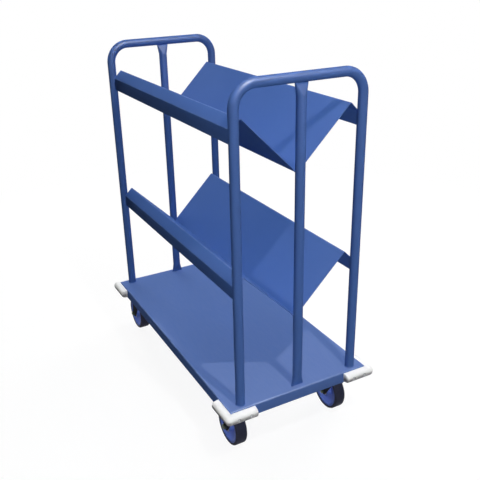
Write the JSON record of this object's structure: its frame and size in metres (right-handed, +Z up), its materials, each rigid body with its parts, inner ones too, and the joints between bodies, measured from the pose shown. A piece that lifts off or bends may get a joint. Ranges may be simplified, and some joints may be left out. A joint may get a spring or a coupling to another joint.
{
  "type": "library cart",
  "caption": "Book trolley with V-shaped shelves over a flat deck, carried by bent tube end frames on swivel casters, with padded corner bumpers.",
  "frame": {"origin": "on the floor under the middle of the deck", "axes": "+X along the cart to its front end, +Y to its left side, +Z up"},
  "size_m": [0.975, 0.509, 1.0995],
  "materials": {
    "blue_paint": "semi-gloss powder coat",
    "white_rubber": "satin moulded",
    "dark_paint": "satin black coat",
    "zinc": "bright zinc plate",
    "dark_steel": "olive passivated steel",
    "wheel_blue": "moulded nylon",
    "tread_black": "matt rubber",
    "bearing_steel": "ground steel"
  },
  "bodies": {
    "cart": {"deck_tray": "blue_paint", "top_shelf": "blue_paint", "lower_shelf": "blue_paint", "cross_member_front": "blue_paint", "cross_member_rear": "blue_paint", "end_frame_front": "blue_paint", "end_frame_rear": "blue_paint", "centre_post_front": "blue_paint", "centre_post_rear": "blue_paint", "bumper_screws": "zinc", "caster_bolts": "zinc", "caster_nuts": "zinc", "bumper_front_left": "white_rubber", "caster_plate_front_left": "dark_paint", "king_pin_front_left": "zinc", "bumper_front_right": "white_rubber", "caster_plate_front_right": "dark_paint", "king_pin_front_right": "zinc", "bumper_rear_left": "white_rubber", "caster_plate_rear_left": "dark_paint", "king_pin_rear_left": "zinc", "bumper_rear_right": "white_rubber", "caster_plate_rear_right": "dark_paint", "king_pin_rear_right": "zinc"},
    "caster_front_left": {"fork_front_left": "dark_paint", "ball_ring_front_left": "bearing_steel", "axle_bolt_front_left": "dark_steel", "axle_nut_front_left": "dark_steel", "axle_sleeve_front_left": "bearing_steel"},
    "wheel_front_left": {"wheel_rim_front_left": "wheel_blue", "wheel_tread_front_left": "tread_black", "wheel_bearings_front_left": "bearing_steel"},
    "caster_front_right": {"fork_front_right": "dark_paint", "ball_ring_front_right": "bearing_steel", "axle_bolt_front_right": "dark_steel", "axle_nut_front_right": "dark_steel", "axle_sleeve_front_right": "bearing_steel"},
    "wheel_front_right": {"wheel_rim_front_right": "wheel_blue", "wheel_tread_front_right": "tread_black", "wheel_bearings_front_right": "bearing_steel"},
    "caster_rear_left": {"fork_rear_left": "dark_paint", "ball_ring_rear_left": "bearing_steel", "axle_bolt_rear_left": "dark_steel", "axle_nut_rear_left": "dark_steel", "axle_sleeve_rear_left": "bearing_steel"},
    "wheel_rear_left": {"wheel_rim_rear_left": "wheel_blue", "wheel_tread_rear_left": "tread_black", "wheel_bearings_rear_left": "bearing_steel"},
    "caster_rear_right": {"fork_rear_right": "dark_paint", "ball_ring_rear_right": "bearing_steel", "axle_bolt_rear_right": "dark_steel", "axle_nut_rear_right": "dark_steel", "axle_sleeve_rear_right": "bearing_steel"},
    "wheel_rear_right": {"wheel_rim_rear_right": "wheel_blue", "wheel_tread_rear_right": "tread_black", "wheel_bearings_rear_right": "bearing_steel"}
  },
  "joints": [
    {"name": "swivel_front_left", "type": "hinge", "parent": "cart", "child": "caster_front_left", "pos_m": [0.394, 0.177, 0.137], "axis": [0, 0, 1], "continuous": true},
    {"name": "roll_front_left", "type": "hinge", "parent": "caster_front_left", "child": "wheel_front_left", "pos_m": [0.364, 0.177, 0.0625], "axis": [0, 1, 0], "continuous": true},
    {"name": "swivel_front_right", "type": "hinge", "parent": "cart", "child": "caster_front_right", "pos_m": [0.394, -0.177, 0.137], "axis": [0, 0, 1], "continuous": true},
    {"name": "roll_front_right", "type": "hinge", "parent": "caster_front_right", "child": "wheel_front_right", "pos_m": [0.364, -0.177, 0.0625], "axis": [0, 1, 0], "continuous": true},
    {"name": "swivel_rear_left", "type": "hinge", "parent": "cart", "child": "caster_rear_left", "pos_m": [-0.394, 0.177, 0.137], "axis": [0, 0, 1], "continuous": true},
    {"name": "roll_rear_left", "type": "hinge", "parent": "caster_rear_left", "child": "wheel_rear_left", "pos_m": [-0.424, 0.177, 0.0625], "axis": [0, 1, 0], "continuous": true},
    {"name": "swivel_rear_right", "type": "hinge", "parent": "cart", "child": "caster_rear_right", "pos_m": [-0.394, -0.177, 0.137], "axis": [0, 0, 1], "continuous": true},
    {"name": "roll_rear_right", "type": "hinge", "parent": "caster_rear_right", "child": "wheel_rear_right", "pos_m": [-0.424, -0.177, 0.0625], "axis": [0, 1, 0], "continuous": true}
  ]
}
